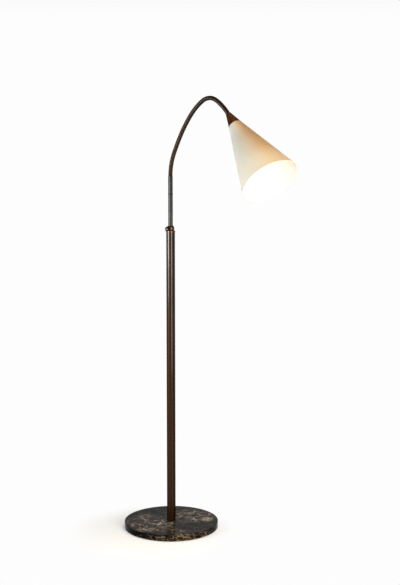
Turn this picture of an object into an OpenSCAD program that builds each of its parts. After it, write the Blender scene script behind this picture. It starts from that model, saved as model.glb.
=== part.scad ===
// Floor lamp: stone base, telescopic column, ribbed gooseneck and a translucent cone shade.
// Millimetres. The origin is on the floor under the middle of the base, +Z is up,
// and the gooseneck reaches out along +X.

/* [Base] */
// Diameter of the stone disc
base_d = 305; // [245:5:365]
// Thickness of the stone disc
base_t = 21; // [18:1:30]
// Bevel along the stone's edges
base_bevel = 1.5; // [0.5:0.5:3]
// Thickness of the felt under the stone
felt_t = 2; // [1:0.5:4]
// Distance from the felt's edge in to the stone's bevel
felt_inset = 4; // [2:1:15]

/* [Base fixing] */
// Outer diameter of the hollow tie rod
rod_d = 10; // [9:0.5:12]
// Bore through the tie rod
rod_bore = 6.5; // [5:0.5:7]
// Length of tie rod left below its nut
rod_tail = 1.5; // [0.5:0.5:3]
// Size across the flats of the base nut
base_nut_flats = 17; // [16:1:20]
// Height of the base nut
base_nut_h = 5; // [4:0.5:6]
// Diameter of the base washer
base_washer_d = 30; // [26:1:36]
// Thickness of the base washer
base_washer_t = 2; // [1:0.5:2.5]
// Room round and below the nut and washer in the stone's pocket
pocket_room = 2; // [1:0.5:3]

/* [Cord outlet] */
// Width of the cord channel cut in the stone's underside
channel_w = 9; // [8.5:0.5:11]
// Length of the bush at the mouth of the channel
outlet_l = 14; // [8:1:25]
// Bore of the bush
outlet_bore = 6.4; // [5:0.2:6.8]
// Width of the lip round the mouth of the bush
outlet_lip = 1.5; // [1:0.5:2.5]

/* [Column] */
// Outer diameter of the column tube
column_d = 28; // [27:0.5:34]
// Wall of the column tube
column_wall = 1.5; // [1:0.25:2]
// Length of the column tube
column_l = 940; // [760:1:1200]
// Length of the plug in the column's foot
foot_l = 30; // [20:1:50]

/* [Collar] */
// How far the band stands out past the column
band_out = 0.75; // [0.25:0.25:2]
// Height of the band
band_h = 7; // [5:0.5:9]
// Outer diameter of the boss above the band
boss_d = 25; // [22:0.5:27]
// Height of the boss above the band
boss_h = 15; // [12:0.5:20]
// Bevel on the band's edges
band_bevel = 0.5; // [0.25:0.25:1]
// Radius of the boss's upper edge
boss_round = 4; // [2:0.5:5]
// Radius of the boss's lower edge, on the band
boss_foot = 2.5; // [1:0.5:4]
// Length of the spigot that goes down into the column
spigot_l = 18; // [12:1:30]

/* [Clamp] */
// Direction that the clamp screw points, from +X towards +Y
clamp_heading = -66; // [-180:1:180]
// Height of the clamp screw above the band
clamp_z = 5; // [4:0.5:8]
// Thread diameter of the clamp screw
screw_d = 5; // [4:0.5:6]
// Thickness of the clamp pad
pad_t = 2; // [1.5:0.25:2.5]
// Diameter of the ball knob
knob_d = 15; // [13:0.5:18]
// Bare screw between the boss and the ball
knob_neck = 2; // [1.75:0.25:4]
// Depth of the ball's threaded hole, as measured along the screw
knob_hole = 9; // [6:0.5:11]

/* [Riser] */
// Outer diameter of the riser tube and of the ferrule above it
riser_d = 14.5; // [14:0.25:16]
// Wall of the riser tube
riser_wall = 1.2; // [1:0.1:1.4]
// Length of the riser tube
riser_l = 560; // [400:5:700]
// Length of riser that stands out of the collar
riser_out = 99.5; // [20:0.5:300]
// Height of the guide bush
bush_h = 20; // [12:1:30]
// Thickness of each retaining ring
ring_t = 1.5; // [1:0.25:2.5]
// How far the retaining rings stand out past the riser
ring_out = 2; // [1:0.25:3]
// Length of riser left below the lower retaining ring
riser_end = 3; // [2:0.5:8]

/* [Coupling] */
// Height of the raised ring between the riser and the ferrule
bead_h = 3; // [2:0.25:5]
// How far the raised ring stands out past the riser
bead_out = 0.5; // [0.25:0.05:1.5]
// Length of the spigots inside the riser and the ferrule
coupling_spigot = 20; // [12:1:30]
// Bore through the coupling
coupling_bore = 7; // [5:0.5:8.5]
// Length of the ferrule
ferrule_l = 54.5; // [40:0.5:80]

/* [Gooseneck] */
// Length of each of the six gooseneck sections
section_l = 71.7; // [60:0.1:85]
// Turn of each section at rest, in degrees
neck_bends = [29, 7, 10, 18, 55, 18]; // [0:1:60]
// Outer diameter over the ribs
neck_d = 13.5; // [13:0.1:14.2]
// Depth of the grooves between the ribs
rib_depth = 0.75; // [0.5:0.05:1]
// Bore of the gooseneck
neck_bore = 6; // [5:0.5:6.5]
// Pitch of the ribs
rib_pitch = 3.25; // [3.1:0.05:5]
// Length of the plain ends inside the ferrule and the cap
neck_tail = 13.5; // [10:0.5:16]

/* [Gooseneck joints] */
// Wall of the cup at the start of a section, measured from the ribs' crests
cup_wall = 1.05; // [0.9:0.05:1.2]
// Clearance between the cup and the ball inside it, at the corners of the facets
cup_gap = 0.7; // [0.65:0.05:0.9]
// Distance from a joint's centre up to the mouth of its cup
cup_lift = 1.2; // [1:0.1:1.5]
// Distance from a joint's centre down to the shoulder below the ball
shoulder_drop = 2; // [1.9:0.1:2.5]

/* [Shade and cap] */
// Diameter of the shade's rim
rim_d = 175.2; // [150:0.2:220]
// Length of the shade along its axis
shade_l = 225; // [200:0.5:280]
// Diameter of the shade's closed end, and of the cap's rim
shade_top_d = 41.2; // [36:0.2:50]
// Wall of the shade
shade_wall = 2; // [1.5:0.25:3]
// Thickness of the shade's closed end
shade_end_t = 2.5; // [2:0.25:4]
// Length of the cap along its axis
cap_l = 46.5; // [40:0.5:56]
// Wall of the cap's rim at the gooseneck
cap_lip = 2.15; // [1.5:0.05:3]
// Wall of the cap's skirt
cap_wall = 1.5; // [1:0.25:2]
// Thickness of the threaded web in the cap
cap_web = 8; // [5:0.5:10]
// Outer diameter of the threaded nipple
nipple_d = 10; // [9:0.5:11]
// Bore of the nipple
nipple_bore = 6; // [5:0.5:7]
// Thickness of the gallery washer inside the shade
gallery_t = 2; // [1:0.25:3]
// Gap between the gallery washer's edge and the shade
gallery_room = 2; // [1:0.25:3]
// Size across the flats of the nipple nut
nipple_nut_flats = 14; // [13:0.5:16]
// Height of the nipple nut
nipple_nut_h = 5; // [3:0.5:7]

/* [Lampholder and bulb] */
// Outer diameter of the lampholder
holder_d = 37; // [36:0.5:39]
// Wall of the lampholder's cap
holder_wall = 1.2; // [1:0.1:1.6]
// Diameter of the hub at the top of the lampholder
hub_d = 16; // [14:0.5:18]
// Height of the hub
hub_h = 8; // [6:0.5:10]
// Height of the lampholder cap's cone below the hub
holder_cone_h = 8; // [7:0.5:12]
// Height of the lampholder cap's straight rim
holder_rim_h = 14; // [13:0.5:18]
// Length of the threaded part of the skirt, inside the cap
skirt_thread_l = 6; // [4:0.5:7]
// Length of the skirt below the cap
skirt_l = 26; // [22:0.5:32]
// Thickness of the ceramic insert
insert_t = 6; // [4:0.5:6.5]
// Diameter of the terminal screws
terminal_d = 3; // [2.5:0.25:3.5]
// Height of the terminal screws' heads
terminal_head_h = 2; // [1.5:0.25:2.5]
// Distance of the terminal screws from the lampholder's axis
terminal_r = 8; // [7.5:0.25:8.5]
// Diameter of the terminal screws' heads
terminal_head_d = 5.5; // [4.5:0.25:6]
// Width of the centre contact
contact_w = 6; // [4:0.5:8]
// Reach of the centre contact from its fixed end to the bulb's tip
contact_reach = 9; // [7:0.5:10]
// Thickness of the centre contact
contact_t = 0.6; // [0.4:0.1:1]
// Drop of the centre contact to the bulb
contact_drop = 3; // [2:0.25:4]
// Outer diameter of the bulb's screw cap
bulb_cap_d = 26.4; // [26:0.1:27]
// Length of the bulb's screw cap
bulb_cap_l = 25; // [22:0.5:28]
// Diameter of the bulb's contact tip
bulb_tip_d = 9; // [6:0.5:11]
// Height of the bulb's contact tip
bulb_tip_h = 2; // [1.5:0.25:3]
// Wall of the bulb's screw cap and of the screw shell
shell_wall = 0.8; // [0.6:0.1:1]
// Length of the screw shell
shell_l = 24; // [18:0.5:26]
// Diameter of the bulb's glass
bulb_d = 60; // [45:1:70]
// Length of the glass past the screw cap
bulb_l = 82; // [70:1:95]
// Wall of the bulb's glass
glass_t = 1; // [0.8:0.1:1.5]

/* [Clearances] */
// Radial clearance of pieces that are screwed or pressed together
fit = 0.05; // [0.03:0.01:0.1]
// Radial clearance of pieces that slide or turn
slide_fit = 0.1; // [0.06:0.01:0.15]
// Gap between the clamp pad and the riser
pad_gap = 0.2; // [0.15:0.05:0.3]

/* [Hidden] */
$fn = 96;
// Extra length of a cut, so that it runs clear through
over = 1;

// Heights on the column
base_top = felt_t + base_t;
column_top = base_top + column_l;
collar_top = column_top + band_h + boss_h;
column_bore = column_d - 2 * column_wall;
pocket_h = base_washer_t + base_nut_h + rod_tail + pocket_room;
pocket_top = felt_t + pocket_h;
pocket_d = base_washer_d + 2 * pocket_room;
channel_z = felt_t + channel_w / 2;

// Heights on the riser
riser_bore = riser_d - 2 * riser_wall;
bead_z = collar_top + riser_out;
ferrule_z = bead_z + bead_h;
riser_z = bead_z - riser_l;
bush_z = riser_z + riser_end + ring_t;

// The clamp, measured out from the column's axis
clamp_height = column_top + band_h + clamp_z;
pad_face = riser_d / 2 + pad_gap;
screw_start = pad_face + pad_t;
knob_centre = boss_d / 2 + knob_neck + knob_d / 2;

// The gooseneck
section_count = len(neck_bends);
neck_start = [0, 0, ferrule_z + ferrule_l];
core_r = neck_d / 2 - rib_depth;
ferrule_bore = 2 * (core_r + fit);
rib_sides = 8;
bore_steps = 9;
cup_r = neck_d / 2 - cup_wall;
ball_r = cup_r - cup_gap;
cup_mouth_r = core_r + rib_depth / 2;

// The head, measured along the shade's axis from the end of the gooseneck
cap_end_r = core_r + fit + cap_lip;
shade_end = cap_l + shade_l;
gallery_h = cap_l + shade_end_t;
nipple_nut_z = gallery_h + gallery_t;
holder_z = nipple_nut_z + nipple_nut_h;
holder_cone_z = holder_z + hub_h;
holder_rim_z = holder_cone_z + holder_cone_h;
skirt_z = holder_rim_z + holder_rim_h;
insert_z = skirt_z - skirt_thread_l - insert_t;
insert_end = insert_z + insert_t;
skirt_bore = bulb_cap_d + 2 * (slide_fit + shell_wall + fit);
thread_d = holder_d - 2 * (holder_wall + fit);
bulb_tip = insert_end + contact_drop + contact_t;
bulb_cap_z = bulb_tip + bulb_tip_h;
bulb_cap_end = bulb_cap_z + bulb_cap_l;
bulb_centre = bulb_cap_end + bulb_l - bulb_d / 2;

// Outer radius of the cap, and of the shade, at a distance along their axis
function cap_r(h) = cap_end_r + (shade_top_d / 2 - cap_end_r) * h / cap_l;
function cone_r(h) = shade_top_d / 2 + (rim_d - shade_top_d) / 2 * (h - cap_l) / shade_l;

// Heading of the gooseneck's line at the start of section i, in degrees from straight up
function heading(i) = i == 0 ? 0 : heading(i - 1) + neck_bends[i - 1];

// Unit vector along a heading
function along(a) = [sin(a), 0, cos(a)];

// Point at a distance s along section i, which is an arc from its own start
function arc_point(i, s) =
    let (a = heading(i), bend = neck_bends[i])
    let (r = bend == 0 ? 0 : section_l * 180 / (PI * bend), b = a + bend * s / section_l)
    bend == 0
        ? joint_point(i) + s * along(a)
        : joint_point(i) + r * [cos(a) - cos(b), 0, sin(b) - sin(a)];

// Centre of the joint at the start of section i
function joint_point(i) = i == 0 ? neck_start : arc_point(i - 1, section_l);

// Ring of points of radius r round section i: s along its arc, then straight ahead
function ring(i, s, ahead, r) =
    let (a = heading(i) + neck_bends[i] * s / section_l)
    let (centre = arc_point(i, s) + ahead * along(a))
    [for (k = [0 : rib_sides - 1])
        let (t = 360 * (k + 0.5) / rib_sides)
        centre + r * cos(t) * [cos(a), 0, -sin(a)] + r * sin(t) * [0, 1, 0]];

// Rings round a ball of radius r at distance s, from one latitude to another
function ball_rings(i, s, r, latitudes) =
    [for (t = latitudes) ring(i, s, r * sin(t), r * cos(t))];

neck_end = arc_point(section_count - 1, section_l);
neck_heading = heading(section_count);

// Profile turned about the Z axis, with points as [radius, height]
module turned(points) {
    rotate_extrude() polygon(points);
}

// Straight tube standing on the XY plane
module tube(outer, inner, length) {
    difference() {
        cylinder(d = outer, h = length);
        translate([0, 0, -over]) cylinder(d = inner, h = length + 2 * over);
    }
}

// Hexagon nut standing on the XY plane
module hex_nut(flats, bore, height) {
    difference() {
        cylinder(d = flats / cos(30), h = height, $fn = 6);
        translate([0, 0, -over]) cylinder(d = bore, h = height + 2 * over);
    }
}

// Bar with a round top, running from x = 0 towards -X, and its flat underside a depth below its axis
module arched_bar(width, length, depth) {
    intersection() {
        union() {
            rotate([0, -90, 0]) cylinder(d = width, h = length);
            translate([-length, -width / 2, -depth]) cube([length, width, depth]);
        }
        translate([-length, -width / 2, -depth]) cube([length, width, depth + width / 2]);
    }
}

// Places pieces of the clamp along its screw, with +Z pointing out of the collar
module on_clamp() {
    translate([0, 0, clamp_height]) rotate([0, 90, clamp_heading]) children();
}

// Places pieces of the head, with +Z pointing along the shade's axis from the end of the gooseneck
module on_head() {
    translate(neck_end) rotate([0, neck_heading, 0]) children();
}

// One section of the gooseneck: ribbed outside, bored through, a cup below and a ball above.
// The first section starts and the last one ends in a plain straight tail.
module gooseneck_section(i) {
    first = i == 0;
    last = i == section_count - 1;
    rib_start = first ? 0 : cup_lift;
    rib_end = last ? section_l : section_l - shoulder_drop;
    ribs = round((rib_end - rib_start) / rib_pitch);
    pitch = (rib_end - rib_start) / ribs;
    bore_r = neck_bore / 2;
    lower_rings = first
        ? [ring(i, 0, -neck_tail, core_r), ring(i, 0, 0, core_r)]
        : [ring(i, cup_lift, 0, cup_mouth_r)];
    rib_rings = [for (n = [0 : ribs - 1], half = [0, 1])
        let (s = rib_start + (n + (half + 1) / 2) * pitch)
        ring(i, s, 0, half == 0 ? neck_d / 2 : core_r)];
    upper_rings = last
        ? [ring(i, section_l, neck_tail, core_r), ring(i, section_l, neck_tail, bore_r)]
        : ball_rings(i, section_l, ball_r, [-20, 0, 20, 38, acos(bore_r / ball_r)]);
    bore_rings = [for (n = [bore_steps : -1 : 1]) ring(i, section_l * n / (bore_steps + 1), 0, bore_r)];
    inlet_rings = first
        ? [ring(i, 0, -neck_tail, bore_r)]
        : ball_rings(i, 0, cup_r, [acos(bore_r / cup_r), 40, 25, asin(cup_lift / cup_r)]);
    rings = concat(lower_rings, rib_rings, upper_rings, bore_rings, inlet_rings);
    count = len(rings);
    points = [for (one = rings) each one];
    faces = [for (j = [0 : count - 1], k = [0 : rib_sides - 1])
        let (here = j * rib_sides, next = ((j + 1) % count) * rib_sides, k2 = (k + 1) % rib_sides)
        each [[here + k, next + k, next + k2], [here + k, next + k2, here + k2]]];
    color("#4b3021") polyhedron(points, faces);
}

// Felt disc that the lamp stands on
module felt_pad() {
    color("darkolivegreen")
        cylinder(d = base_d - 2 * (base_bevel + felt_inset), h = felt_t);
}

// Stone disc with a pocket for the nut and a channel for the cord underneath
module stone_base() {
    r = base_d / 2;
    color("#1e1b1a")
        translate([0, 0, felt_t])
            difference() {
                turned([[0, 0], [r - base_bevel, 0], [r, base_bevel], [r, base_t - base_bevel],
                    [r - base_bevel, base_t], [0, base_t]]);
                translate([0, 0, -over]) cylinder(d = rod_d + 2 * fit, h = base_t + 2 * over);
                translate([0, 0, -over]) cylinder(d = pocket_d, h = pocket_h + over);
                translate([0, 0, channel_w / 2]) arched_bar(channel_w, r + over, channel_w / 2 + over);
            }
}

// Washer against the roof of the stone's pocket
module base_washer() {
    color("silver")
        translate([0, 0, pocket_top - base_washer_t]) tube(base_washer_d, rod_d + 2 * fit, base_washer_t);
}

// Nut that pulls the column down onto the stone
module base_nut() {
    color("silver")
        translate([0, 0, pocket_top - base_washer_t - base_nut_h])
            hex_nut(base_nut_flats, rod_d + 2 * fit, base_nut_h);
}

// Hollow threaded rod from the nut up into the foot plug
module tie_rod() {
    rod_z = felt_t + pocket_room;
    color("silver")
        translate([0, 0, rod_z]) tube(rod_d, rod_bore, base_top + foot_l - rod_z);
}

// Bush at the stone's rear edge where the cord comes out
module cord_outlet() {
    depth = channel_w / 2 - fit;
    color("#222222")
        translate([-base_d / 2, 0, channel_z])
            difference() {
                union() {
                    translate([outlet_l, 0, 0]) arched_bar(channel_w - 2 * fit, outlet_l, depth);
                    arched_bar(channel_w + 2 * outlet_lip, outlet_lip, depth);
                }
                translate([outlet_l + over, 0, 0])
                    rotate([0, -90, 0]) cylinder(d = outlet_bore, h = outlet_l + outlet_lip + 2 * over);
            }
}

// Threaded plug fixed in the column's foot
module foot_plug() {
    color("goldenrod")
        translate([0, 0, base_top]) tube(column_bore - 2 * fit, rod_d + 2 * fit, foot_l);
}

// Lower tube of the telescopic stem
module column_tube() {
    color("#4a2a18")
        translate([0, 0, base_top]) tube(column_d, column_bore, column_l);
}

// Collar on the column: spigot, band and a boss with rounded edges
module collar() {
    bore_r = riser_d / 2 + slide_fit;
    spigot_r = column_bore / 2 - fit;
    band_r = column_d / 2 + band_out;
    boss_r = boss_d / 2;
    top = band_h + boss_h;
    foot_edge = [for (t = [0 : 15 : 90])
        [boss_r - boss_foot * (1 - sin(t)), band_h + boss_foot * (1 - cos(t))]];
    round_edge = [for (t = [0 : 15 : 90])
        [boss_r - boss_round * (1 - cos(t)), top - boss_round * (1 - sin(t))]];
    color("#8a6a3c")
        difference() {
            translate([0, 0, column_top])
                turned(concat([[bore_r, -spigot_l], [spigot_r, -spigot_l], [spigot_r, 0],
                    [band_r - band_bevel, 0], [band_r, band_bevel], [band_r, band_h - band_bevel],
                    [band_r - band_bevel, band_h]], foot_edge, round_edge, [[bore_r, top]]));
            on_clamp() cylinder(d = screw_d + 2 * slide_fit, h = boss_d);
        }
}

// Pad that the clamp screw presses on the riser
module clamp_pad() {
    color("goldenrod")
        difference() {
            on_clamp() cylinder(d = screw_d, h = screw_start);
            translate([0, 0, clamp_height - screw_d]) cylinder(r = pad_face, h = 2 * screw_d);
        }
}

// Threaded shank of the clamp screw
module clamp_screw() {
    shank_end = knob_centre - knob_d / 2 + knob_hole;
    color("silver")
        on_clamp() translate([0, 0, screw_start]) cylinder(d = screw_d, h = shank_end - screw_start);
}

// Ball that turns the clamp screw
module clamp_knob() {
    color("#6b4a2a")
        on_clamp()
            difference() {
                translate([0, 0, knob_centre]) sphere(d = knob_d);
                translate([0, 0, knob_centre - knob_d / 2 - over])
                    cylinder(d = screw_d + 2 * fit, h = knob_hole + over);
            }
}

// Bush that guides the riser's lower end inside the column
module guide_bush() {
    color("ivory")
        translate([0, 0, bush_z]) tube(column_bore - 2 * slide_fit, riser_d + 2 * slide_fit, bush_h);
}

// Rings that hold the guide bush on the riser, one below and one above it
module retaining_rings() {
    color("silver")
        for (z = [bush_z - ring_t - slide_fit, bush_z + bush_h + slide_fit])
            translate([0, 0, z]) tube(riser_d + 2 * ring_out, riser_d + 2 * fit, ring_t);
}

// Upper tube of the telescopic stem
module riser_tube() {
    color("#77706a")
        translate([0, 0, riser_z]) tube(riser_d, riser_bore, riser_l);
}

// Coupling between the riser and the ferrule, with a rounded ring that shows between them
module neck_coupling() {
    lower_r = riser_bore / 2 - fit;
    upper_r = ferrule_bore / 2 - fit;
    bore_r = coupling_bore / 2;
    top = bead_h + coupling_spigot;
    bead_edge = [for (t = [-90 : 15 : 90])
        [riser_d / 2 + bead_out * cos(t), bead_h / 2 * (1 + sin(t))]];
    color("#77706a")
        translate([0, 0, bead_z])
            turned(concat([[bore_r, -coupling_spigot], [lower_r, -coupling_spigot], [lower_r, 0]], bead_edge,
                [[upper_r, bead_h], [upper_r, top], [bore_r, top]]));
}

// Plain sleeve that holds the lower end of the gooseneck
module neck_ferrule() {
    color("#77706a")
        translate([0, 0, ferrule_z]) tube(riser_d, ferrule_bore, ferrule_l);
}

// Conical cap: socket for the gooseneck, threaded web and a hollow skirt over the shade
module neck_cap() {
    socket_r = core_r + fit;
    thread_r = nipple_d / 2 + fit;
    web_end = neck_tail + cap_web;
    color("#5f3a1c")
        on_head()
            turned([[socket_r, 0], [cap_end_r, 0], [cap_r(cap_l), cap_l], [cap_r(cap_l) - cap_wall, cap_l],
                [cap_r(web_end) - cap_wall, web_end], [thread_r, web_end], [thread_r, neck_tail],
                [socket_r, neck_tail]]);
}

// Cone shade with a closed end that the nipple passes through
module shade() {
    hole_r = nipple_d / 2 + fit;
    inner_end_r = cone_r(gallery_h) - shade_wall;
    color("#efe3c8")
        on_head()
            turned([[hole_r, cap_l], [cone_r(cap_l), cap_l], [rim_d / 2, shade_end],
                [rim_d / 2 - shade_wall, shade_end], [inner_end_r, gallery_h], [hole_r, gallery_h]]);
}

// Threaded tube that hangs the shade and the lampholder from the cap
module head_nipple() {
    color("silver")
        on_head() translate([0, 0, neck_tail]) tube(nipple_d, nipple_bore, holder_cone_z - neck_tail);
}

// Washer that spreads the nut's pull on the shade's closed end
module gallery_washer() {
    edge_r = cone_r(gallery_h) - shade_wall - gallery_room;
    color("silver")
        on_head() translate([0, 0, gallery_h]) tube(2 * edge_r, nipple_d + 2 * fit, gallery_t);
}

// Nut that clamps the shade against the cap
module nipple_nut() {
    color("silver")
        on_head() translate([0, 0, nipple_nut_z]) hex_nut(nipple_nut_flats, nipple_d + 2 * fit, nipple_nut_h);
}

// Upper shell of the lampholder, screwed on the nipple
module lampholder_cap() {
    hub_r = hub_d / 2;
    outer_r = holder_d / 2;
    thread_r = nipple_d / 2 + fit;
    color("goldenrod")
        on_head()
            turned([[thread_r, holder_z], [hub_r, holder_z], [hub_r, holder_cone_z - holder_wall],
                [outer_r, holder_rim_z - holder_wall], [outer_r, skirt_z], [outer_r - holder_wall, skirt_z],
                [outer_r - holder_wall, holder_rim_z], [hub_r - holder_wall, holder_cone_z],
                [thread_r, holder_cone_z]]);
}

// Ceramic disc that carries the contacts, seated on the skirt's threaded end
module lampholder_insert() {
    color("white")
        on_head()
            difference() {
                translate([0, 0, insert_z]) cylinder(d = thread_d, h = insert_t);
                for (side = [-1, 1])
                    translate([0, side * terminal_r, insert_z - over])
                        cylinder(d = terminal_d + 2 * fit, h = insert_t + 2 * over);
            }
}

// Skirt of the lampholder, threaded into the cap's rim
module lampholder_skirt() {
    bore_r = skirt_bore / 2;
    thread_r = thread_d / 2;
    outer_r = holder_d / 2;
    color("#2a2420")
        on_head()
            turned([[bore_r, insert_end], [thread_r, insert_end], [thread_r, skirt_z], [outer_r, skirt_z],
                [outer_r, skirt_z + skirt_l], [bore_r, skirt_z + skirt_l]]);
}

// Screw shell that the bulb's cap turns into
module screw_shell() {
    outer = skirt_bore - 2 * fit;
    color("goldenrod")
        on_head() translate([0, 0, insert_end]) tube(outer, outer - 2 * shell_wall, shell_l);
}

// Sprung strip from the insert down to the bulb's tip
module centre_contact() {
    bent = contact_drop + contact_t;
    foot = contact_reach / 2;
    tip = bulb_tip_d / 2;
    color("gold")
        on_head() translate([0, contact_w / 2, insert_end])
            rotate([90, 0, 0])
                linear_extrude(contact_w)
                    polygon([[-contact_reach, 0], [-contact_reach, contact_t], [-foot, contact_t], [0, bent],
                        [tip, bent], [tip, contact_drop], [0, contact_drop], [-foot, 0]]);
}

// Two cheese-head screws for the leads, seated on the insert
module terminal_screws() {
    color("silver")
        on_head()
            for (side = [-1, 1])
                translate([0, side * terminal_r, insert_z]) {
                    translate([0, 0, -terminal_head_h]) cylinder(d = terminal_head_d, h = terminal_head_h);
                    cylinder(d = terminal_d, h = insert_t);
                }
}

// Screw cap of the bulb, with its contact tip
module bulb_cap() {
    outer_r = bulb_cap_d / 2;
    inner_r = outer_r - shell_wall;
    tip_r = bulb_tip_d / 2;
    shoulder = bulb_cap_z + bulb_tip_h;
    color("silver")
        on_head()
            turned([[0, bulb_tip], [tip_r, bulb_tip], [tip_r, bulb_cap_z], [outer_r, shoulder],
                [outer_r, bulb_cap_end], [inner_r, bulb_cap_end], [inner_r, shoulder + shell_wall],
                [tip_r, bulb_cap_z + shell_wall], [0, bulb_cap_z + shell_wall]]);
}

// Hollow glass of the bulb: a ball with a neck that tapers to the screw cap
module bulb_glass() {
    neck_r = bulb_cap_d / 2;
    join_angle = 30;
    join_r = bulb_d / 2 * cos(join_angle);
    neck_l = bulb_centre - bulb_d / 2 * sin(join_angle) - bulb_cap_end;
    color("#fff4dc")
        on_head()
            difference() {
                union() {
                    translate([0, 0, bulb_centre]) sphere(d = bulb_d);
                    translate([0, 0, bulb_cap_end]) cylinder(r1 = neck_r, r2 = join_r, h = neck_l);
                }
                translate([0, 0, bulb_centre]) sphere(d = bulb_d - 2 * glass_t);
                translate([0, 0, bulb_cap_end])
                    cylinder(r1 = neck_r - glass_t, r2 = join_r - glass_t, h = neck_l);
            }
}

felt_pad();
stone_base();
base_washer();
base_nut();
tie_rod();
cord_outlet();
foot_plug();
column_tube();
collar();
clamp_pad();
clamp_screw();
clamp_knob();
guide_bush();
retaining_rings();
riser_tube();
neck_coupling();
neck_ferrule();
for (i = [0 : section_count - 1])
    gooseneck_section(i);
neck_cap();
shade();
head_nipple();
gallery_washer();
nipple_nut();
lampholder_cap();
lampholder_insert();
lampholder_skirt();
screw_shell();
centre_contact();
terminal_screws();
bulb_cap();
bulb_glass();
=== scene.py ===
import bpy
import numpy as np
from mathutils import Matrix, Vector


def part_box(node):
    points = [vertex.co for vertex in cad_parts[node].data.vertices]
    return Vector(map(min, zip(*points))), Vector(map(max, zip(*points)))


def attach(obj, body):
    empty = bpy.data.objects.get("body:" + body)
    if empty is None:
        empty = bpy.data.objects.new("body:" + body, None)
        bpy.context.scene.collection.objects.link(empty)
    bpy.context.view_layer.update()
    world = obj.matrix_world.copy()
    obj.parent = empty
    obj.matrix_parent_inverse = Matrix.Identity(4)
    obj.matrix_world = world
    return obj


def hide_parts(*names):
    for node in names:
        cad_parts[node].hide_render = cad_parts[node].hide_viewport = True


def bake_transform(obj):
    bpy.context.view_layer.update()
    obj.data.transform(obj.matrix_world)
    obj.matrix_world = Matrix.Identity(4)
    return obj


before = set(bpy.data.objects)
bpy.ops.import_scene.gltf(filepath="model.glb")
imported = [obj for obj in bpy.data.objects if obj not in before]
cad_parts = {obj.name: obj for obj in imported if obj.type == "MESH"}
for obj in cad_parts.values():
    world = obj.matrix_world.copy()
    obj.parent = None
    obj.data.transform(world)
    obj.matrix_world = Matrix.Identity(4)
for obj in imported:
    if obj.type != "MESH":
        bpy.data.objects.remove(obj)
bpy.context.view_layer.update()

# The studio: a white paper sweep under a grey room, with softboxes stacked on a stand at either side and one
# overhead. The camera stands 3.4 m away to the right of the arm's reach, a little higher than the collar.
scene = bpy.context.scene
scene.view_settings.view_transform = "Standard"

camera_dip, camera_turn = 5.62, 51.8
camera = bpy.data.objects.new("camera", bpy.data.cameras.new("camera"))
scene.collection.objects.link(camera)
scene.camera = camera
camera.location = (2.692, -1.999, 1.101)
camera.rotation_euler = np.radians((90 - camera_dip, 0, camera_turn))
camera.data.lens = 64.62
camera.data.sensor_width = 36
camera.data.sensor_fit = "AUTO"
camera.data.clip_end = 100


def softbox(name, place, target, width, height, watts, colour):
    """Rectangular area light at place, its face turned towards target."""
    light = bpy.data.lights.new(name, "AREA")
    light.shape = "RECTANGLE"
    light.size, light.size_y = width, height
    light.energy, light.color = watts, colour
    box = bpy.data.objects.new(name, light)
    scene.collection.objects.link(box)
    box.location = place
    box.rotation_euler = (Vector(target) - Vector(place)).to_track_quat("-Z", "Y").to_euler()
    box.visible_camera = False
    return box


left_stand, right_stand = (-0.22, -2.39), (2.56, -0.46)
left_width, right_width = 1.1, 1.0
side_boxes = []
for name, stand, width, centre_z, height, aim_z, watts, colour in (
        ("softbox_left", left_stand, left_width, 1.225, 0.55, 1.0, 32, (0.97, 0.99, 1.0)),
        ("softbox_left_middle", left_stand, left_width, 0.825, 0.25, 1.0, 37, (0.86, 0.95, 1.0)),
        ("softbox_left_low", left_stand, left_width, 0.60, 0.20, 0.8, 12, (0.9, 0.96, 1.0)),
        ("softbox_left_foot", left_stand, left_width, 0.325, 0.35, 0.8, 2.5, (0.97, 0.99, 1.0)),
        ("softbox_right", right_stand, right_width, 1.25, 0.5, 1.0, 18, (1.0, 0.97, 0.93)),
        ("softbox_right_low", right_stand, right_width, 0.8, 0.4, 1.0, 24, (1.0, 0.97, 0.93)),
        ("softbox_right_foot", right_stand, right_width, 0.33, 0.54, 0.8, 20, (1.0, 0.94, 0.88))):
    side_boxes.append(softbox(name, (*stand, centre_z), (0, 0, aim_z), width, height, watts, colour))
softbox("softbox_over", place=(0.2, 0.2, 3.2), target=(0.1, 0, 0), width=2.0, height=2.0, watts=6,
        colour=(1.0, 0.99, 0.98))


def node(tree, kind, inputs=(), **settings):
    """Adds a node with the given settings, each named or numbered input fed by a socket or a plain value."""
    made = tree.nodes.new(kind)
    for key, value in settings.items():
        setattr(made, key, value)
    for key, value in dict(inputs).items():
        if isinstance(value, bpy.types.NodeSocket):
            tree.links.new(value, made.inputs[key])
        else:
            made.inputs[key].default_value = value
    return made


def number_math(tree, operation, *values):
    """Number socket of an operation on numbers, each a socket or a plain value."""
    return node(tree, "ShaderNodeMath", enumerate(values), operation=operation).outputs[0]


def vector_math(tree, operation, *values):
    """Socket of an operation on vectors: a number for a length or a distance, and a vector otherwise."""
    made = node(tree, "ShaderNodeVectorMath", enumerate(values), operation=operation)
    return made.outputs["Value" if operation in ("LENGTH", "DISTANCE") else "Vector"]


def component(tree, vector, axis):
    """Number socket of a vector's X, Y or Z."""
    return node(tree, "ShaderNodeSeparateXYZ", {0: vector}).outputs[axis]


def larger(tree, one, other):
    """Number socket of the larger of two numbers at each point."""
    return number_math(tree, "MAXIMUM", one, other)


def times(tree, one, other):
    """Number socket of the product of two numbers at each point, held between 0 and 1."""
    return node(tree, "ShaderNodeMath", {0: one, 1: other}, operation="MULTIPLY", use_clamp=True).outputs[0]


def ramped(tree, value, start, end, low=0.0, high=1.0):
    """Number socket that goes from low to high, slow at both ends, as value goes from start to end."""
    return node(tree, "ShaderNodeMapRange", enumerate((value, start, end, low, high)),
                interpolation_type="SMOOTHSTEP").outputs[0]


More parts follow.
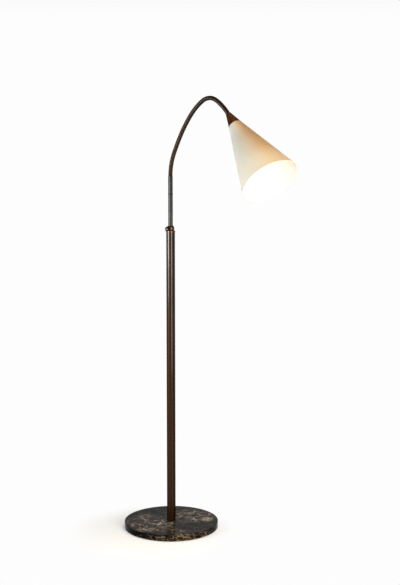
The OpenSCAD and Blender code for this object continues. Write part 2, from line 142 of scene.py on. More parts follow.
def mixed(tree, share, one, other):
    """Colour socket that goes from one colour to another as share goes from 0 to 1."""
    return node(tree, "ShaderNodeMix", {0: share, 6: one, 7: other}, data_type="RGBA").outputs[2]


def shader_mix(tree, share, one, other):
    """Shader socket that goes from one shader node to another as share goes from 0 to 1."""
    return node(tree, "ShaderNodeMixShader", {0: share, 1: one.outputs[0], 2: other.outputs[0]}).outputs[0]


def seen_directly(tree):
    """Socket that is 1 for what the camera, a gloss or a glass looks at, and 0 for light on its way there."""
    path = node(tree, "ShaderNodeLightPath").outputs
    looked_at = larger(tree, path["Is Camera Ray"], path["Is Glossy Ray"])
    return larger(tree, looked_at, path["Is Transmission Ray"])


paper_white, room_grey, fill_white = (0.985, 0.985, 0.985, 1), (0.42, 0.42, 0.43, 1), (1, 1, 1, 1)
fill_strength, paper_end, room_start = 0.36, 0.15, 0.29
scene.world = bpy.data.worlds.new("studio")
scene.world.use_nodes = True
sky = scene.world.node_tree
sky.nodes.clear()
direction = node(sky, "ShaderNodeTexCoord").outputs["Generated"]
over_paper = ramped(sky, component(sky, direction, "Z"), paper_end, room_start)
room_colour = mixed(sky, over_paper, paper_white, room_grey)
fill_light = node(sky, "ShaderNodeBackground", {"Color": fill_white, "Strength": fill_strength})
backdrop = node(sky, "ShaderNodeBackground", {"Color": room_colour, "Strength": 1.0})
node(sky, "ShaderNodeOutputWorld", {0: shader_mix(sky, seen_directly(sky), fill_light, backdrop)})


def surface(name, points, *faces):
    """Smooth mesh object at the origin from an array of points and an array of faces for each number of
    corners that its faces have."""
    mesh = bpy.data.meshes.new(name)
    mesh.from_pydata(points.reshape(-1, 3), [], [face for group in faces for face in group.tolist()])
    mesh.polygons.foreach_set("use_smooth", np.ones(len(mesh.polygons), bool))
    mesh.update()
    made = bpy.data.objects.new(name, mesh)
    scene.collection.objects.link(made)
    return made


def ring_quads(number):
    """Quads between each row of a grid of point numbers and the next, every row closed round on itself."""
    low, high = number[:-1], number[1:]
    return np.stack([low, np.roll(low, -1, 1), np.roll(high, -1, 1), high], 2)


def turned(profile, steps=128, loop=False):
    """Points, quads and triangles of a profile of (radius, height) swung about Z: row i, column j is
    (r_i cos t_j, r_i sin t_j, h_i) with t_j = 2 pi j / steps. A row on the axis is one point, and the last
    row of a looped profile joins its first. Run up the outside and down the inside, faces point outwards."""
    profile = np.asarray(profile, float)
    t = 2 * np.pi * np.arange(steps) / steps
    points = profile[:, None, [0, 0, 1]] * np.stack([np.cos(t), np.sin(t), np.ones(steps)], 1)
    number = np.arange(len(profile) * steps).reshape(-1, steps)
    on_axis = profile[:, 0] < 1e-9
    number[on_axis] = number[on_axis, :1]
    if loop:
        number = np.concatenate([number, number[:1]])
        on_axis = np.append(on_axis, on_axis[0])
    cells, start, end = ring_quads(number), on_axis[:-1], on_axis[1:]
    quads = cells[~start & ~end].reshape(-1, 4)
    fans = np.concatenate([cells[start][..., [0, 2, 3]], cells[end][..., [0, 1, 2]]]).reshape(-1, 3)
    used, order = np.unique(np.concatenate([quads.ravel(), fans.ravel()]), return_inverse=True)
    return points.reshape(-1, 3)[used], order[:quads.size].reshape(-1, 4), order[quads.size:].reshape(-1, 3)


# The paper is white to whoever looks at it, but keeps its true shading, and so the shadow, round the base
paper_grey = (0.735, 0.725, 0.71, 1)
shadow_centre, shadow_near, shadow_far, shadow_white = (-0.005, -0.085, 0), 0.12, 0.29, 0.12
sweep = surface("paper_sweep", *turned([(40, 0), (10, 0), (3, 0), (1, 0), (0.3, 0), (0, 0)]))
paper = bpy.data.materials.new("paper_white")
paper.use_nodes = True
tree = paper.node_tree
tree.nodes.clear()
place = node(tree, "ShaderNodeTexCoord").outputs["Object"]
from_shadow = vector_math(tree, "DISTANCE", place, shadow_centre)
whitened = ramped(tree, from_shadow, shadow_near, shadow_far, shadow_white, 1.0)
lit_paper = node(tree, "ShaderNodeBsdfDiffuse", {0: paper_grey})
white_paper = node(tree, "ShaderNodeEmission", {0: paper_white, 1: 1.0})
paper_mix = shader_mix(tree, times(tree, whitened, seen_directly(tree)), lit_paper, white_paper)
node(tree, "ShaderNodeOutputMaterial", {0: paper_mix})
sweep.data.materials.append(paper)


# The felt: a disc of pressed dark green felt, glued under the stone so that it doesn't mark the floor.
# It is the CAD solid itself, a little smaller than the stone, with the matted fibres in its material.
felt_dark, felt_light = (0.008, 0.011, 0.007), (0.035, 0.045, 0.03)


def new_finish(name, sockets):
    """New material with the given values on its Principled shader, as (material, node tree, shader)."""
    material = bpy.data.materials.new(name)
    material.use_nodes = True
    shader = material.node_tree.nodes["Principled BSDF"]
    for socket, value in sockets.items():
        shader.inputs[socket].default_value = value
    return material, material.node_tree, shader


def own_place(tree, scale=(1, 1, 1), turn=(0, 0, 0), centre=(0, 0, 0), coordinates="Object"):
    """Socket of the piece's own coordinates about a centre, turned back by turn and scaled for a pattern."""
    place = node(tree, "ShaderNodeTexCoord").outputs[coordinates]
    about = node(tree, "ShaderNodeMapping", {"Vector": place, "Location": centre, "Rotation": turn},
                 vector_type="TEXTURE")
    return vector_math(tree, "MULTIPLY", about.outputs[0], scale)


def noise(tree, vector, scale=1.0, detail=3.0, roughness=0.5, distortion=0.0):
    """Socket of a cloudy pattern between 0 and 1 at so many lumps a metre."""
    return node(tree, "ShaderNodeTexNoise", {"Vector": vector, "Scale": scale, "Detail": detail,
                                             "Roughness": roughness, "Distortion": distortion}).outputs[0]


def shades(tree, factor, *stops):
    """Colour socket that runs through (place, colour) stops as factor goes from 0 to 1."""
    ramp = node(tree, "ShaderNodeValToRGB", {0: factor})
    for _ in stops[2:]:
        ramp.color_ramp.elements.new(0.5)
    for element, (at, colour) in zip(ramp.color_ramp.elements, stops):
        element.position, element.color = at, (*colour, 1)
    return ramp.outputs[0]


def paint(tree, shader, colour, roughness=None):
    """Feeds the shader's colour, and its roughness where that varies, from patterns."""
    tree.links.new(colour, shader.inputs["Base Color"])
    if roughness is not None:
        tree.links.new(roughness, shader.inputs["Roughness"])


def bumped(tree, shader, height, depth):
    """Roughens the shader's surface by a height pattern of so many metres."""
    bump = node(tree, "ShaderNodeBump", {"Height": height, "Distance": depth, "Strength": 1.0})
    tree.links.new(bump.outputs[0], shader.inputs["Normal"])


def dress(material, *names):
    """Puts a material on CAD nodes that stay as they are."""
    for name in names:
        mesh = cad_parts[name].data
        mesh.materials.clear()
        mesh.materials.append(material)


felt, tree, shader = new_finish("pressed_felt", {
    "Roughness": 0.95, "Sheen Weight": 0.4, "Sheen Roughness": 0.5})
fibres = noise(tree, own_place(tree), scale=2600, detail=4, roughness=0.7, distortion=1.5)
clumps = noise(tree, own_place(tree), scale=240)
paint(tree, shader, shades(tree, times(tree, fibres, clumps), (0.1, felt_dark), (0.5, felt_light)))
bumped(tree, shader, fibres, depth=0.0004)
dress(felt, "felt_pad")


# The base: a turned and polished disc of black stone, with grey and brown veins in two patches over its top
# and gold ones along its front. The column is bolted to its middle, its edges are eased by hand with a stone,
# and a channel for a cord is cut in its underside.
stone_ease, wall_rows = 0.0016, 24
under_ring_r, edge_ring_r, top_ring_r = 0.10, 0.13, 0.06
channel_r, channel_z, channel_end, lining_inset = 0.0045, 0.0065, -0.017, 0.0004


def span(name):
    """Lowest and highest corners of a CAD node, to the micrometre."""
    return np.round(np.array(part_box(name), float), 6)


def eased(rows, steps=6, loop=False):
    """Profile through rows of (radius, height, ease) with its corners rounded: each corner P becomes the
    parabola (1-u)^2 S + 2u(1-u) P + u^2 E between the points S and E on its sides, ease away from P. Each
    straight side gets a point close to either end, so that smooth shading leaves the side straight."""
    most_of_side, hold_l, most_hold, least_gap = 0.48, 0.0006, 0.3, 1e-7
    corners, ease = np.split(np.asarray(rows, float), [2], 1)
    before, after = np.roll(corners, 1, 0) - corners, np.roll(corners, -1, 0) - corners
    near, far = np.linalg.norm(before, axis=1, keepdims=True), np.linalg.norm(after, axis=1, keepdims=True)
    start = corners + before * (np.minimum(ease, near * most_of_side) / near)
    end = corners + after * (np.minimum(ease, far * most_of_side) / far)
    u = np.linspace(0, 1, steps)[None, :, None]
    curve = (1 - u) ** 2 * start[:, None] + 2 * u * (1 - u) * corners[:, None] + u ** 2 * end[:, None]
    side = np.roll(start, -1, 0) - end
    side_l = np.maximum(np.linalg.norm(side, axis=1, keepdims=True), 1e-9)
    hold = side * np.minimum(hold_l / side_l, most_hold)
    curve = np.concatenate([curve, (end + hold)[:, None], (end + side - hold)[:, None]], 1).reshape(-1, 2)
    if not loop:
        curve = curve[:-2]
    fresh = np.linalg.norm(curve - np.roll(curve, 1, 0), axis=1) > least_gap
    fresh[0] = fresh[0] or not loop
    return curve[fresh]


(_, _, stone_low), (stone_r, _, stone_top) = span("stone_base")
edges = eased([(edge_ring_r, stone_low, 0), (stone_r, stone_low, stone_ease),
               (stone_r, stone_top, stone_ease), (edge_ring_r, stone_top, 0)])
lower = edges[:, 1] < (stone_low + stone_top) / 2
wall_z = np.linspace(stone_low + stone_ease, stone_top - stone_ease, wall_rows + 2)[1:-1]
wall = np.stack([np.full(wall_rows, stone_r), wall_z], 1)
stone_profile = np.concatenate([
    [(0, stone_low), (under_ring_r, stone_low)], edges[lower], wall,
    edges[~lower], [(top_ring_r, stone_top), (0, stone_top)]])
points, quads, fans = turned(stone_profile, steps=720)

# The channel's mouth and its strip of the underside are left out, and an arched lining runs in from there
x, y, z = points[quads].mean(1).T
in_channel = (x < -under_ring_r) & (np.hypot(y, np.maximum(z - channel_z, 0)) < channel_r)
arch_t = np.linspace(0, np.pi, 25)
arch = np.concatenate([[(channel_r, stone_low)],
                       np.stack([channel_r * np.cos(arch_t), channel_z + channel_r * np.sin(arch_t)], 1),
                       [(-channel_r, stone_low)]])
lining_x = np.array([lining_inset - stone_r, channel_end])
lining = np.stack(np.broadcast_arrays(lining_x[:, None], arch[:, 0], arch[:, 1]), 2).reshape(-1, 3)
first = np.arange(len(arch) - 1) + len(points)
lining_quads = np.stack([first, first + len(arch), first + len(arch) + 1, first + 1], 1)
stone = surface("stone_disc", np.concatenate([points, lining]), quads[~in_channel], fans, lining_quads)

# The veins are laid out in the stone along X and Y that run to the right and to the rear in the photo
drift_reach, vein_lean, vein_stretch = (0.034, 0.034, 0.02), (1.4, 0, 0), (0.62, 0.8, 2.6)
marble, tree, shader = new_finish("black_gold_stone", {"Metallic": 0.0, "IOR": 1.1})
place = own_place(tree, turn=(0, 0, np.radians(camera_turn)))
drift = node(tree, "ShaderNodeTexNoise", {"Vector": place, "Scale": 24.0, "Detail": 4.0, "Roughness": 0.6})
wander = vector_math(tree, "SUBTRACT", drift.outputs["Color"], (0.5, 0.5, 0.5))
carried = vector_math(tree, "MULTIPLY_ADD", wander, drift_reach, place)
depth = component(tree, place, "Z")
slant = node(tree, "ShaderNodeCombineXYZ", {"X": depth}).outputs[0]
leaning = vector_math(tree, "MULTIPLY_ADD", slant, vein_lean, carried)
lengthened = vector_math(tree, "MULTIPLY", leaning, vein_stretch)


def between(tree, value, low, high, start=0.0, end=1.0):
    """Number socket that goes evenly from low to high as value goes from start to end."""
    return node(tree, "ShaderNodeMapRange", enumerate((value, start, end, low, high))).outputs[0]


def threads(tree, coordinates, scale, thin, thick):
    """Socket that is 1 along the edges of a net of cells, so many a metre, and 0 inside them."""
    edge = node(tree, "ShaderNodeTexVoronoi", {"Vector": coordinates, "Scale": scale, "Randomness": 1.0},
                feature="DISTANCE_TO_EDGE").outputs["Distance"]
    width = between(tree, noise(tree, place, scale=40), thin, thick)
    return ramped(tree, edge, 0.0, width, 1.0, 0.0)


def patch(tree, centre, reach):
    """Socket that is 1 round a place in the stone and fades to 0 about its reach in three directions."""
    full, gone = 0.6, 1.25
    off = vector_math(tree, "DIVIDE", vector_math(tree, "SUBTRACT", carried, centre), reach)
    return ramped(tree, vector_math(tree, "LENGTH", off), gone, full)


top_depth, edge_depth = 0.0005, 0.003
over_left = patch(tree, centre=(-0.066, -0.032, stone_top), reach=(0.078, 0.096, 0.013))
over_right = patch(tree, centre=(0.078, 0.048, stone_top), reach=(0.084, 0.074, 0.013))
over_front = patch(tree, centre=(0.036, -0.138, 0.006), reach=(0.125, 0.095, 0.0175))
at_knot = patch(tree, centre=(0.119, 0.006, stone_top), reach=(0.022, 0.024, 0.013))
on_top = ramped(tree, depth, stone_top - edge_depth, stone_top - top_depth)
over_top = times(tree, larger(tree, over_left, over_right), on_top)
strewn = between(tree, noise(tree, place, scale=36, roughness=0.6), -0.9, 2.1)

fine_on_top, fine_in_front, faint_elsewhere = 0.45, 0.38, 0.10
top_net = larger(tree, threads(tree, lengthened, 34, thin=0.01, thick=0.15),
                 times(tree, threads(tree, lengthened, 84, thin=0.0, thick=0.15), fine_on_top))
top_share = times(tree, larger(tree, over_top, times(tree, on_top, faint_elsewhere)), strewn)
front_net = larger(tree, threads(tree, leaning, 62, thin=0.0, thick=0.12),
                   times(tree, threads(tree, leaning, 118, thin=0.0, thick=0.16), fine_in_front))
front_share = times(tree, over_front, strewn)
spotted = between(tree, noise(tree, place, scale=130, detail=4, roughness=0.6), -1.2, 2.4)
veined = larger(tree, times(tree, top_net, top_share), times(tree, front_net, front_share))
veined = larger(tree, veined, times(tree, at_knot, spotted))

hues = noise(tree, place, scale=60)
top_tint = shades(tree, hues, (0.3, (0.26, 0.20, 0.15)), (0.5, (0.47, 0.41, 0.34)), (0.7, (0.85, 0.79, 0.70)))
front_tint = shades(tree, hues, (0.3, (0.36, 0.205, 0.105)), (0.5, (0.64, 0.455, 0.29)),
                    (0.7, (0.97, 0.83, 0.66)))
vein_tint = mixed(tree, over_front, top_tint, front_tint)
clouds, flecks, blotches = (
    noise(tree, carried, scale=scale, detail=5, roughness=0.65) for scale in (42, 120, 70))
edge_black = shades(tree, clouds, (0.3, (0.0006, 0.0006, 0.0006)), (0.7, (0.0030, 0.0026, 0.0023)))
# The top's ground is a lighter grey than the near-black side: painted sheen of the polish
top_black_with_sheen = shades(tree, clouds, (0.3, (0.0085, 0.0084, 0.0086)), (0.7, (0.025, 0.0238, 0.0235)))
golden = shades(tree, flecks, (0.4, (0.0012, 0.0007, 0.0004)), (0.7, (0.020, 0.0096, 0.0037)))
mottled = shades(tree, blotches, (0.3, (0.012, 0.0100, 0.0088)), (0.55, (0.036, 0.0285, 0.023)),
                 (0.75, (0.088, 0.072, 0.058)))
edge_ground = mixed(tree, over_front, edge_black, golden)
top_ground = mixed(tree, over_top, top_black_with_sheen, mottled)
ground = mixed(tree, on_top, edge_ground, top_ground)
paint(tree, shader, mixed(tree, veined, ground, vein_tint),
      roughness=between(tree, noise(tree, place, scale=160, detail=4), 0.10, 0.22))
bumped(tree, shader, noise(tree, place, scale=700), depth=0.00002)
stone.data.materials.append(marble)
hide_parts("stone_base")
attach(stone, "stand")

# The side boxes are flagged off the stone, whose polish would mirror them when it is seen from behind
flagged = bpy.data.collections.new("flagged_off_the_polish")
flagged.objects.link(stone)
flagged.collection_objects[0].light_linking.link_state = "EXCLUDE"
for box in side_boxes:
    box.light_linking.receiver_collection = flagged


# The fixing under the base: a hollow threaded rod with its nut and washer, of zinc-plated steel.
# They sit in the stone's pocket behind the felt, and the CAD solids keep their shape.
zinc_dark, zinc_light = (0.36, 0.37, 0.38), (0.58, 0.58, 0.57)
zinc, tree, shader = new_finish("zinc_plated_steel", {"Metallic": 1.0})
spangle = noise(tree, own_place(tree), scale=420, detail=4, roughness=0.6)
paint(tree, shader, shades(tree, spangle, (0.3, zinc_dark), (0.7, zinc_light)),
      roughness=between(tree, spangle, 0.25, 0.5))
bumped(tree, shader, noise(tree, own_place(tree), scale=1900, detail=2), depth=0.00003)
dress(zinc, "base_washer", "base_nut", "tie_rod")


# The cord outlet: a moulded black rubber bush pressed into the mouth of the stone's cord channel.
# Its lip lies against the stone's edge at the rear.
rubber_dark, rubber_light = (0.010, 0.010, 0.011), (0.022, 0.021, 0.021)
rubber, tree, shader = new_finish("moulded_rubber", {"Metallic": 0.0})
matt = noise(tree, own_place(tree), scale=900, roughness=0.6)
paint(tree, shader, shades(tree, matt, (0.3, rubber_dark), (0.7, rubber_light)),
      roughness=between(tree, matt, 0.5, 0.72))
bumped(tree, shader, matt, depth=0.00006)
dress(rubber, "cord_outlet")


# The foot plug: a turned brass plug brazed into the foot of the column, threaded for the rod.
# It is hidden inside the tube.
brass_dark, brass_light = (0.46, 0.29, 0.10), (0.68, 0.46, 0.18)
brass, tree, shader = new_finish("turned_brass", {"Metallic": 1.0})
lathe = noise(tree, own_place(tree, (300, 300, 2600)), detail=2)
paint(tree, shader, shades(tree, lathe, (0.3, brass_dark), (0.7, brass_light)),
      roughness=between(tree, lathe, 0.22, 0.42))
bumped(tree, shader, lathe, depth=0.00003)
dress(brass, "foot_plug")


# The column: a drawn brass tube with a deep brown patina under clear lacquer. Towards the foot the lacquer is
# thinner, and the patina is painted lighter and browner: a painted reflection of the lit floor. It stands on
# the stone, pulled down by the rod inside it.
column_bore_r, column_ease = 0.0125, 0.0004
thin_coat, full_coat, thin_coat_z, full_coat_z, foot_glow_z, deep_z = 0.14, 0.42, 0.30, 0.88, 0.15, 0.85


def tube_wall(bore_r, outer_r, low, top, ease):
    """Profile of a plain tube's wall with its four edges eased."""
    return eased([(bore_r, low, ease), (outer_r, low, ease),
                  (outer_r, top, ease), (bore_r, top, ease)], steps=4, loop=True)


(_, _, column_low), (column_r, _, column_top) = span("column_tube")
column_wall = tube_wall(column_bore_r, column_r, column_low, column_top, column_ease)
column = surface("column", *turned(column_wall, loop=True))
brown_patina, tree, shader = new_finish("lacquered_patina", {
    "Metallic": 1.0, "Coat Roughness": 0.1, "Coat IOR": 1.45, "Specular Tint": (0.12, 0.07, 0.045, 1)})
column_z = component(tree, own_place(tree), "Z")
lacquer = ramped(tree, column_z, thin_coat_z, full_coat_z, thin_coat, full_coat)
tree.links.new(lacquer, shader.inputs["Coat Weight"])
drawn = noise(tree, own_place(tree, (420, 420, 5)), roughness=0.6)
cloud = noise(tree, own_place(tree, (26, 26, 9)), detail=4, roughness=0.6)
toned = number_math(tree, "ADD", drawn, cloud)
# Painted reflection of the lit floor: the patina is lighter and browner towards the foot
foot_glow_patina = shades(tree, toned, (0.6, (0.0195, 0.0083, 0.0032)), (1.0, (0.0292, 0.0126, 0.0050)))
deep_patina = shades(tree, toned, (0.6, (0.011, 0.0040, 0.0009)), (1.0, (0.0165, 0.0060, 0.0013)))
from_foot = between(tree, column_z, 0.0, 1.0, start=foot_glow_z, end=deep_z)
paint(tree, shader, mixed(tree, from_foot, foot_glow_patina, deep_patina),
      roughness=between(tree, cloud, 0.40, 0.50))
bumped(tree, shader, drawn, depth=0.000012)
column.data.materials.append(brown_patina)
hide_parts("column_tube")
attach(column, "stand")


# The collar: a turned sleeve of aged brass pressed into the top of the column, with a band over the tube's
# end and a rounded boss that the clamp screw goes through.
collar_bore_r, spigot_r, band_r = 0.00735, 0.01245, 0.01475
waist_r, boss_r, shoulder_r, boss_flat_r = 0.0112, 0.0125, 0.0118, 0.0086
# Heights of the collar are from the column's top
spigot_low, band_top, waist_z, belly_z, shoulder_z, collar_top = -0.018, 0.007, 0.0072, 0.0112, 0.0196, 0.022
collar_rows = np.array([
    (collar_bore_r, spigot_low, 0.0004), (spigot_r, spigot_low, 0.0004), (spigot_r, 0, 0.0001),
    (band_r, 0, 0.0007), (band_r, band_top, 0.0012), (waist_r, waist_z, 0.0009), (boss_r, belly_z, 0.0030),
    (shoulder_r, shoulder_z, 0.0030), (boss_flat_r, collar_top, 0.0012),
    (collar_bore_r, collar_top, 0.0004)])
collar_profile = eased(collar_rows + (0, column_top, 0), steps=8, loop=True)
collar = surface("collar_sleeve", *turned(collar_profile, steps=96, loop=True))
aged_dark, aged_brown, aged_light = (0.03, 0.0145, 0.0065), (0.055, 0.029, 0.014), (0.10, 0.06, 0.034)
aged, tree, shader = new_finish("aged_brass", {"Metallic": 1.0, "Coat Weight": 0.2, "Coat Roughness": 0.15})
tarnish = noise(tree, own_place(tree), scale=130, detail=5, roughness=0.65)
paint(tree, shader, shades(tree, tarnish, (0.28, aged_dark), (0.52, aged_brown), (0.75, aged_light)),
      roughness=between(tree, tarnish, 0.18, 0.34))
bumped(tree, shader, noise(tree, own_place(tree, (260, 260, 2400)), detail=2), depth=0.00002)
collar.data.materials.append(aged)
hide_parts("collar")
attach(collar, "stand")


# The clamp: a brass pad, a steel screw through the boss and a turned ball of aged brass, worn bright at its
# end, where its lighter colour is also a painted highlight. Turned in, it presses the pad on the riser and
# holds the lamp at its height.
clamp_heading, clamp_z = np.radians(-66), 0.975
screw_start, screw_end, screw_pitch, screw_root_r, screw_r = 0.00948, 0.0234, 0.0008, 0.0021, 0.0025
dress(brass, "clamp_pad")


def on_clamp(points):
    """Points made about Z, laid along the screw: Z goes out along its heading, X down and Y across."""
    out = np.array([np.cos(clamp_heading), np.sin(clamp_heading), 0])
    across = np.array([-np.sin(clamp_heading), np.cos(clamp_heading), 0])
    return points @ np.array([(0, 0, -1), across, out]) + (0, 0, clamp_z)


def winding(start, end, pitch, rows_a_pitch, steps):
    """Grid of a winding about an axis: distances s along it, angles t round it and, for each pair of them, f,
    the fraction of s/pitch - t/2pi, which climbs one pitch each turn."""
    s = np.linspace(start, end, int(round((end - start) / pitch * rows_a_pitch)) + 1)
    t = 2 * np.pi * np.arange(steps) / steps
    return s, t, (s[:, None] / pitch - t / (2 * np.pi)) % 1


def threaded(start, end, pitch, root_r, crest_r):
    """Threaded rod about Z: at height s and angle t its radius is root + (crest - root)(1 - |2f - 1|), with f
    the winding's fraction. The thread fades to the root at both ends, which are closed flat."""
    s, t, f = winding(start, end, pitch, rows_a_pitch=12, steps=36)
    fade_l = 0.6 * pitch
    fade = np.clip(np.minimum(s - start, end - s) / fade_l, 0, 1)[:, None]
    r = root_r + (crest_r - root_r) * (1 - np.abs(2 * f - 1)) * fade
    points = np.stack(np.broadcast_arrays(r * np.cos(t), r * np.sin(t), s[:, None]), 2).reshape(-1, 3)
    number = np.arange(r.size).reshape(r.shape)
    return points, ring_quads(number).reshape(-1, 4), np.stack([number[0, ::-1], number[-1]])


points, *faces = threaded(screw_start, screw_end, screw_pitch, screw_root_r, screw_r)
screw = surface("threaded_screw", on_clamp(points), *faces)
screw.data.materials.append(zinc)
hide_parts("clamp_screw")
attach(screw, "knob")


def globe(centre, radius, start, steps):
    """Profile of a ball's upper part: radius r cos t and height c + r sin t, from t = start up to its top."""
    t = np.linspace(start, np.pi / 2, steps)
    profile = np.stack([radius * np.cos(t), centre + radius * np.sin(t)], 1)
    profile[-1, 0] = 0
    return profile


ball_out, ball_r, ball_low = 0.022, 0.0075, np.radians(-64)
flat_r, bevel_r, bevel_l = 0.0024, 0.0032, 0.0002
bright_from, bright_at, smudge_l = 0.0050, 0.0085, 0.003
ball_foot = ball_out - ball_r
ball_profile = np.concatenate([[(0, ball_foot), (flat_r, ball_foot), (bevel_r, ball_foot + bevel_l)],
                               globe(ball_out, ball_r, ball_low, steps=48)])
points, *faces = turned(ball_profile, steps=64)
ball = surface("ball_knob", on_clamp(points), *faces)
ball_dark, ball_brown, ball_bright = (0.030, 0.0135, 0.006), (0.06, 0.034, 0.02), (0.13, 0.098, 0.08)
brass_with_painted_highlight, tree, shader = new_finish("brass_with_painted_highlight", {
    "Metallic": 1.0, "Specular Tint": (0.4, 0.3, 0.22, 1)})
place = own_place(tree, turn=(0, np.radians(90), clamp_heading), centre=(0, 0, clamp_z))
smudges = noise(tree, place, scale=260, detail=4, roughness=0.6)
# The ball's outer end is lighter: worn brass, and a painted highlight
toward_end = number_math(tree, "MULTIPLY_ADD", smudges, smudge_l, component(tree, place, "Z"))
bright = ramped(tree, toward_end, ball_out + bright_from, ball_out + bright_at)
paint(tree, shader, shades(tree, bright, (0.0, ball_dark), (0.5, ball_brown), (1.0, ball_bright)),
      roughness=between(tree, bright, 0.22, 0.38))
bumped(tree, shader, noise(tree, place, scale=1500, detail=2), depth=0.00001)
ball.data.materials.append(brass_with_painted_highlight)
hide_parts("clamp_knob")
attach(ball, "knob")


# The guide: a plastic bush between two steel rings near the riser's lower end, inside the column.
# It steers the riser and stops it from coming out.
bush_dark, bush_light = (0.62, 0.59, 0.52), (0.76, 0.73, 0.66)
bush_plastic, tree, shader = new_finish("moulded_plastic", {"Metallic": 0.0})
flow = noise(tree, own_place(tree), scale=170)
paint(tree, shader, shades(tree, flow, (0.3, bush_dark), (0.7, bush_light)),
      roughness=between(tree, flow, 0.35, 0.5))
bumped(tree, shader, noise(tree, own_place(tree), scale=1500, detail=2), depth=0.00002)
dress(bush_plastic, "guide_bush")
dress(zinc, "retaining_rings")


# The riser and its ferrule: drawn brass tube with a grey patina, satin brushed along its length, and a raised
# ring between the two, which is the flange of the coupling that joins them.
(_, _, riser_low), (riser_r, _, bead_low) = span("riser_tube")
(_, _, bead_top), (_, _, ferrule_top) = span("neck_ferrule")
riser_bore_r, bead_r, bead_slope = 0.00605, 0.0078, 0.0003
plug_r, upper_plug_r, plug_bore_r, plug_l = 0.006, 0.00595, 0.0035, 0.02
plug_ease, root_ease, bead_ease = 0.0003, 0.0001, 0.0009
coupling_profile = eased([
    (plug_bore_r, bead_low - plug_l, plug_ease), (plug_r, bead_low - plug_l, plug_ease),
    (plug_r, bead_low, root_ease), (riser_r, bead_low, root_ease),
    (bead_r, bead_low + bead_slope, bead_ease), (bead_r, bead_top - bead_slope, bead_ease),
    (riser_r, bead_top, root_ease), (upper_plug_r, bead_top, root_ease),
    (upper_plug_r, bead_top + plug_l, plug_ease), (plug_bore_r, bead_top + plug_l, plug_ease)], loop=True)
satin_dark, satin_light = (0.017, 0.0161, 0.0140), (0.026, 0.0248, 0.0222)
satin, tree, shader = new_finish("satin_grey_patina", {
    "Metallic": 1.0, "Specular Tint": (0.55, 0.54, 0.52, 1)})
brushed = noise(tree, own_place(tree, (900, 900, 7)), roughness=0.6)
clouded = noise(tree, own_place(tree, (60, 60, 22)), detail=4, roughness=0.6)
toned = number_math(tree, "ADD", brushed, clouded)
paint(tree, shader, shades(tree, toned, (0.6, satin_dark), (1.0, satin_light)),
      roughness=between(tree, brushed, 0.28, 0.36))
bumped(tree, shader, brushed, depth=0.00001)
for name, hidden, profile in (
        ("riser", "riser_tube", tube_wall(riser_bore_r, riser_r, riser_low, bead_low, ease=0.0003)),
        ("joint_ring", "neck_coupling", coupling_profile),
        ("ferrule", "neck_ferrule", tube_wall(riser_bore_r, riser_r, bead_top, ferrule_top, ease=0.0004))):
    tube = surface(name, *turned(profile, steps=96, loop=True))
    tube.data.materials.append(satin)
    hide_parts(hidden)
    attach(tube, "riser")


# The gooseneck: half-round steel strip wound tight into a hose over a core, painted brown to match the
# column. It keeps the bend it is put in.
section_l, bends = 0.0717, np.radians([29, 7, 10, 18, 55, 18])
sections = len(bends)
neck_l = sections * section_l
headings = np.concatenate([[0], np.cumsum(bends)])
crest_r, core_r, wind_pitch = 0.00675, 0.0060, 0.00325
hose_tail, bend_reach = 0.010, 0.0355


def arc_step(radius, start, end):
    """Step along an arc of the neck from heading a to heading b: r (cos a - cos b, 0, sin b - sin a)."""
    across, ahead = np.cos(start) - np.cos(end), np.sin(end) - np.sin(start)
    return radius[:, None] * np.stack([across, np.zeros_like(across), ahead], 1)


def neck_line(s):
    """Centre and heading at distance s along the gooseneck. Section i is an arc of length L that turns by
    b_i, so its heading is h_i + b_i (s - iL)/L and its centre lies an arc's step from the section's start.
    Before the first and after the last section the line runs straight on."""
    radius = section_l / bends
    whole_arcs = np.concatenate([np.zeros((1, 3)), arc_step(radius, headings[:-1], headings[1:])])
    starts = (0, 0, ferrule_top) + np.cumsum(whole_arcs, 0)
    i = np.clip((s / section_l).astype(int), 0, sections - 1)
    held = np.clip(s, 0, neck_l)
    heading = headings[i] + bends[i] * (held - i * section_l) / section_l
    ahead = np.stack([np.sin(heading), np.zeros_like(heading), np.cos(heading)], 1)
    return starts[i] + arc_step(radius[i], headings[i], heading) + (s - held)[:, None] * ahead, heading


def wound_hose(name, start, end):
    """Hose from start to end along the neck's line: at distance s and angle t its radius is
    core + (crest - core) sqrt(1 - (2f - 1)^2), with f the winding's fraction, so that the strip's crest is
    half-round. Past the line's ends the radius sinks to the core. Its UV map holds t/2pi and s."""
    sink_l = 0.001
    s, t, f = winding(start, end, wind_pitch, rows_a_pitch=9, steps=28)
    centre, heading = neck_line(s)
    inside = np.clip(np.minimum(s, neck_l - s) / sink_l, 0, 1)[:, None]
    r = core_r + (crest_r - core_r) * np.sqrt(np.clip(1 - (2 * f - 1) ** 2, 0, 1)) * inside
    side = np.stack([np.cos(heading), np.zeros_like(heading), -np.sin(heading)], 1)
    points = (centre[:, None] + (r * np.cos(t))[..., None] * side[:, None]
              + (r * np.sin(t))[..., None] * np.array([0, 1, 0]))
    hose = surface(name, points, ring_quads(np.arange(r.size).reshape(r.shape)).reshape(-1, 4))
    around = np.stack(np.broadcast_arrays(t / (2 * np.pi), s[:, None]), 2).reshape(-1, 2)
    loops = np.empty(len(hose.data.loops), int)
    hose.data.loops.foreach_get("vertex_index", loops)
    hose.data.uv_layers.new(name="wound").data.foreach_set("uv", around[loops].ravel().astype(np.float32))
    return hose


